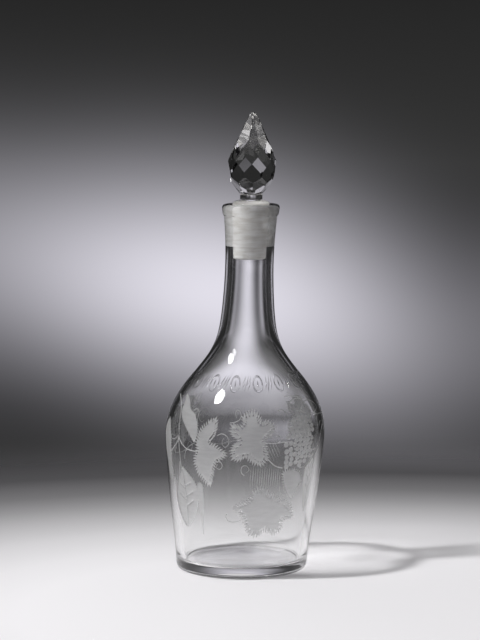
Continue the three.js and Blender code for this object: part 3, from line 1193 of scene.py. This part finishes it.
def cut_head(sizes, head_foot):
    """The head: a round blank ground flat, row by row."""
    height = sizes.tip - head_foot
    blank_radius = sizes.head_radius + sizes.blank_allowance
    shell = Shell()
    outline = [
        (0, head_foot), (sizes.head_foot_radius, head_foot),
        (blank_radius, head_foot + sizes.blank_shoulder), (blank_radius, sizes.tip), (0, sizes.tip),
    ]
    add_turned(shell, outline, sizes.segments, 0, 0, lambda radius, level: CLEAR)
    bm = bmesh.new()
    corners = [bm.verts.new(point) for point in shell.points]
    for face in shell.faces:
        bm.faces.new([corners[i] for i in face])
    bmesh.ops.recalc_face_normals(bm, faces=bm.faces)
    for level, reach, fall, stagger, proud in FACET_ROWS:
        tilt = math.atan(fall * sizes.head_radius / height)
        for facet in range(sizes.facets):
            turn = sizes.facet_turn + 2 * math.pi / sizes.facets * (facet + stagger)
            outward = Vector((math.sin(turn), -math.cos(turn), 0))
            out = reach * sizes.head_radius + (proud if facet == 0 else 0)
            spot = outward * out + Vector((0, 0, head_foot + level * height))
            facing = outward * math.cos(tilt) + Vector((0, 0, math.sin(tilt)))
            cut = bmesh.ops.bisect_plane(
                bm, geom=[*bm.verts, *bm.edges, *bm.faces], plane_co=spot, plane_no=facing,
                clear_outer=True, dist=NEAR,
            )
            rim = [e for e in cut["geom_cut"] if isinstance(e, bmesh.types.BMEdge) and e.is_boundary]
            if rim:
                bmesh.ops.holes_fill(bm, edges=rim, sides=0)
    bmesh.ops.remove_doubles(bm, verts=bm.verts, dist=FACET_WELD)
    bmesh.ops.dissolve_limit(bm, angle_limit=SAME_FACET, verts=bm.verts, edges=bm.edges)
    bmesh.ops.recalc_face_normals(bm, faces=bm.faces)
    return bm


def lean_over(mesh, lean, pivot):
    """Shears a mesh so that its axis leans like the neck."""
    shear = Matrix.Identity(4)
    shear[0][2] = lean
    shear[0][3] = -lean * pivot
    mesh.transform(shear)


def build_stopper(bottle, sizes, finishes):
    """The cut stopper: faceted head on a grooved collar, and a ground peg."""
    head_foot = BOTTLE_TOP + sizes.dome + 2 * sizes.groove + sizes.collar
    joint = sizes.groove
    outline = stem_outline(sizes) + [(sizes.groove_radius, head_foot + joint), (0, head_foot + joint)]

    def material_at(radius, height):
        return GROUND if height < BOTTLE_TOP else CLEAR

    materials = [
        clear_glass("Cut glass", finishes.cut, wave_size=0.02, wave_height=0.00001, bending=1.52),
        ground_glass("Ground peg", finishes.ground, 0.2, clearness=0.15, roughness=(0.4, 0.5)),
    ]
    shell = Shell()
    add_turned(shell, outline, sizes.segments, 0, 0, material_at)
    stem = make_object("cut_stopper", shell, materials)
    head_mesh = bpy.data.meshes.new("stopper_head")
    bm = cut_head(sizes, head_foot)
    bm.to_mesh(head_mesh)
    bm.free()
    head_mesh.materials.append(materials[CLEAR])
    head = add_object("stopper_head", head_mesh)
    soften = head.modifiers.new("Softened edges", "BEVEL")
    soften.width = sizes.facet_edge
    soften.segments = 1
    soften.limit_method = "ANGLE"
    soften.angle_limit = math.radians(4)
    union = stem.modifiers.new("Head", "BOOLEAN")
    union.operation = "UNION"
    union.solver = "EXACT"
    union.object = head
    bake(stem)
    bpy.data.objects.remove(head)
    lean_over(stem.data, bottle.lean, bottle.shoulder_height)
    return stem


def bake(thing):
    """Turns an object's modifiers into its mesh."""
    mesh = evaluated_mesh(thing)
    old = thing.data
    thing.modifiers.clear()
    thing.data = mesh
    mesh.name = thing.name
    bpy.data.meshes.remove(old)


# Stage

QUARTER_TURN = math.pi / 2

# Tone of the studio by elevation in degrees, from the floor up into the dark
STUDIO_TONES = ((-12, 0.035), (-10.5, 0.032), (-9, 0.016), (-6, 0.012), (-3, 0.034), (1, 0.02))

# Soft glows on the backdrop: azimuth, elevation, width, depth (degrees), slant, brightness
GLOWS = (
    (-1.98, -6.26, 3.8, 1.63, 0.207, 0.52),
    (0.78, -5.92, 2.77, 1.78, 0.254, 0.33),
    (-12.5, -5.5, 3.2, 2.2, 0.0, 0.3),
    (12.0, -6.8, 3.0, 1.5, 0.0, 0.4),
    (3.5, -11.1, 3.6, 0.45, 0.0, 0.42),
    (0.0, 13.6, 14.0, 1.3, 0.0, 0.6),
)

# Soft light overhead: elevations between which it grows, in degrees, and its brightness
OVERHEAD = (25, 60, 0.7)

GLOW_TINT = (0.99, 0.965, 1.07, 1)  # of the glows and the light overhead


def studio_world(settings):
    """A dark graded studio with soft glows on its walls and a soft light overhead."""
    world = bpy.data.worlds.new("Studio")
    world.use_nodes = True
    world.node_tree.nodes.clear()
    desk = NodeDesk(world.node_tree)
    direction = desk.shader("TexCoord").outputs["Generated"]
    parts = desk.shader("SeparateXYZ", {0: direction})
    rise = desk.math("ARCSINE", parts.outputs["Z"])
    azimuth = desk.math("ARCTAN2", parts.outputs["X"], parts.outputs["Y"])
    # The glows repeat in each quarter of the studio
    turned = desk.math("ADD", azimuth, math.pi + QUARTER_TURN / 2)
    side = desk.math("SUBTRACT", desk.math("MODULO", turned, QUARTER_TURN), QUARTER_TURN / 2)
    low, high = (math.radians(STUDIO_TONES[i][0]) for i in (0, -1))
    stops = [(math.radians(degrees), tone) for degrees, tone in STUDIO_TONES]
    tones = ramp_of_tones(desk, rise, stops, low, high)
    glow = 0.0
    for *angles, slant, brightness in GLOWS:
        azimuth_at, level, width, depth = (math.radians(angle) for angle in angles)
        off = desk.math("SUBTRACT", side, azimuth_at)
        slanted = desk.math("MULTIPLY_ADD", off, slant, desk.math("SUBTRACT", rise, level))
        across = desk.squared(desk.math("DIVIDE", off, width))
        up = desk.squared(desk.math("DIVIDE", slanted, depth))
        bell = desk.math("EXPONENT", desk.math("MULTIPLY", desk.math("ADD", across, up), -0.5))
        glow = desk.math("MULTIPLY_ADD", bell, brightness, glow)
    above = desk.ramp(rise, math.radians(OVERHEAD[0]), math.radians(OVERHEAD[1]), 0.0, OVERHEAD[2])
    tinted = desk.mix(desk.math("ADD", glow, above), (0, 0, 0, 1), GLOW_TINT)
    seen = desk.mix(1.0, tones, tinted, "ADD")
    path = desk.shader("LightPath").outputs
    sight = desk.math("MAXIMUM", path["Is Camera Ray"], path["Is Glossy Ray"])
    sight = desk.math("MAXIMUM", sight, path["Is Transmission Ray"])
    colour = desk.mix(sight, (*(settings.plain_light,) * 3, 1), seen)
    background = desk.shader("Background", {"Color": colour})
    desk.shader("OutputWorld", {"Surface": background})
    bpy.context.scene.world = world


# Centre of the floor and of its painted pool of light
FLOOR_CENTRE = (0.06, -0.12)
FLOOR_RADIUS = 0.64
FLOOR_BREADTH = 1.3  # how much wider than deep the floor's pale zone, a painted pool of light, is
FLOOR_REACH = 0.5  # where its painted shade ends
FLOOR_SOLID = 0.43  # from here the floor fades out
FLOOR_GONE = 0.63  # from here nothing of it shows

# Painted shade on the floor: its tone as a share of its colour, by distance from its centre, a painted
# falloff of light that darkens the floor away from the object
FLOOR_PAINTED_SHADE = (
    (0.0, 0.92), (0.15, 0.94), (0.19, 0.87), (0.217, 0.78), (0.24, 0.71), (0.26, 0.62), (0.28, 0.54),
    (0.3, 0.455), (0.33, 0.325), (0.35, 0.255), (0.373, 0.18), (0.41, 0.12), (0.44, 0.065), (0.5, 0.045),
)


def build_floor(settings):
    """A pale floor with painted shade that grows darker away from the object, where the light is painted
    as falling off, and that fades into the studio.
    """
    mesh = bpy.data.meshes.new("floor")
    bm = bmesh.new()
    bmesh.ops.create_circle(bm, cap_ends=True, segments=96, radius=FLOOR_RADIUS)
    bmesh.ops.scale(bm, vec=(FLOOR_BREADTH, 1, 1), verts=bm.verts)
    bmesh.ops.translate(bm, vec=(*FLOOR_CENTRE, 0), verts=bm.verts)
    bm.to_mesh(mesh)
    bm.free()
    material, desk, shader = new_material("Floor")
    place = desk.shader("TexCoord").outputs["Object"]
    offset = desk.vector("SUBTRACT", place, (*FLOOR_CENTRE, 0))
    narrowed = desk.vector("DIVIDE", offset, (FLOOR_BREADTH, 1, 1))
    reach = desk.shader("VectorMath", {0: narrowed}, operation="LENGTH").outputs["Value"]
    # Painted shade: the floor's colour darkens with distance from its centre, in place of light falling
    # off
    tone = ramp_of_tones(desk, reach, FLOOR_PAINTED_SHADE, 0.0, FLOOR_REACH)
    colour = desk.mix(1.0, tone, (*settings.floor, 1), "MULTIPLY")
    desk.fill(shader, {"Base Color": colour, "Roughness": 0.6})
    fade = desk.ramp(reach, FLOOR_SOLID, FLOOR_GONE)
    below = desk.shader("NewGeometry").outputs["Backfacing"]
    desk.end_material(shader, desk.math("MAXIMUM", fade, below))
    mesh.materials.append(material)
    return add_object("floor", mesh)


# Soft lamps: name, place, what it is aimed at, width, height, roll in degrees, power, and whether
# the glass mirrors it
LAMPS = (
    ("key_light", (-0.68, -0.36, 1.02), (0, 0, 0.1), 0.25, 0.27, -5, 3.5, True),
    ("side_light", (-2.36, -0.7, 3.9), (0, 0, 0.05), 0.3, 0.4, 0, 152, False),
)


def add_softbox(name, place, target, width, height, roll, power, mirrored):
    """A soft oval lamp aimed at a point."""
    lamp = bpy.data.lights.new(name, "AREA")
    lamp.shape = "ELLIPSE"
    lamp.size = width
    lamp.size_y = height
    lamp.energy = power
    holder = add_object(name, lamp)
    holder.location = place
    aim = (Vector(target) - Vector(place)).to_track_quat("-Z", "Y")
    holder.rotation_euler = (aim @ Quaternion((0, 0, 1), math.radians(roll))).to_euler()
    holder.visible_glossy = mirrored
    holder.visible_transmission = mirrored


def add_camera(settings):
    """The camera at the viewing angle of the photograph."""
    camera = bpy.data.cameras.new("camera")
    camera.lens = settings.camera_lens
    camera.clip_start = 0.05
    camera.clip_end = 50
    holder = add_object("camera", camera)
    holder.location = (-settings.camera_side, -settings.camera_distance, settings.camera_height)
    holder.rotation_euler = (math.pi / 2 - settings.camera_pitch, 0, 0)
    bpy.context.scene.camera = holder


# Operators

class DECANTER_OT_bottle(Operator):
    """Build the engraved bottle"""

    bl_idname = "decanter.bottle"
    bl_label = "Bottle"

    def execute(self, context):
        scene = context.scene
        bottle = build_bottle(scene.bottle_sizes, scene.stopper_sizes, scene.glass_finishes)
        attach(bottle, "bottle")
        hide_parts(BOTTLE_NODE)
        return {"FINISHED"}


class DECANTER_OT_stopper(Operator):
    """Build the cut stopper"""

    bl_idname = "decanter.stopper"
    bl_label = "Stopper"

    def execute(self, context):
        scene = context.scene
        stopper = build_stopper(scene.bottle_sizes, scene.stopper_sizes, scene.glass_finishes)
        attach(stopper, "stopper")
        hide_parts(STOPPER_NODE)
        return {"FINISHED"}


class DECANTER_OT_stage(Operator):
    """Set up the floor, the studio, the lamps and the camera"""

    bl_idname = "decanter.stage"
    bl_label = "Stage"

    def execute(self, context):
        settings = context.scene.stage_settings
        context.scene.view_settings.view_transform = "Standard"
        studio_world(settings)
        build_floor(settings)
        for lamp in LAMPS:
            add_softbox(*lamp)
        add_camera(settings)
        return {"FINISHED"}


class DECANTER_PT_panel(Panel):
    """Lists the decanter's pieces and its stage"""

    bl_idname = "DECANTER_PT_panel"
    bl_label = "Decanter"
    bl_space_type = "VIEW_3D"
    bl_region_type = "UI"
    bl_category = "Decanter"

    def draw(self, context):
        for operator in OPERATORS:
            self.layout.operator(operator.bl_idname)


OPERATORS = (DECANTER_OT_bottle, DECANTER_OT_stopper, DECANTER_OT_stage)
SETTINGS = {
    "bottle_sizes": BottleSizes,
    "stopper_sizes": StopperSizes,
    "glass_finishes": Finishes,
    "stage_settings": StageSettings,
}


def register():
    for group in SETTINGS.values():
        bpy.utils.register_class(group)
    for name, group in SETTINGS.items():
        setattr(bpy.types.Scene, name, PointerProperty(type=group))
    for operator in OPERATORS:
        bpy.utils.register_class(operator)
    bpy.utils.register_class(DECANTER_PT_panel)


def unregister():
    bpy.utils.unregister_class(DECANTER_PT_panel)
    for operator in reversed(OPERATORS):
        bpy.utils.unregister_class(operator)
    for name in SETTINGS:
        delattr(bpy.types.Scene, name)
    for group in reversed(SETTINGS.values()):
        bpy.utils.unregister_class(group)


def main():
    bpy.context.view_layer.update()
    register()
    bpy.ops.decanter.bottle()
    bpy.ops.decanter.stopper()
    bpy.ops.decanter.stage()


if __name__ == "__main__":
    main()
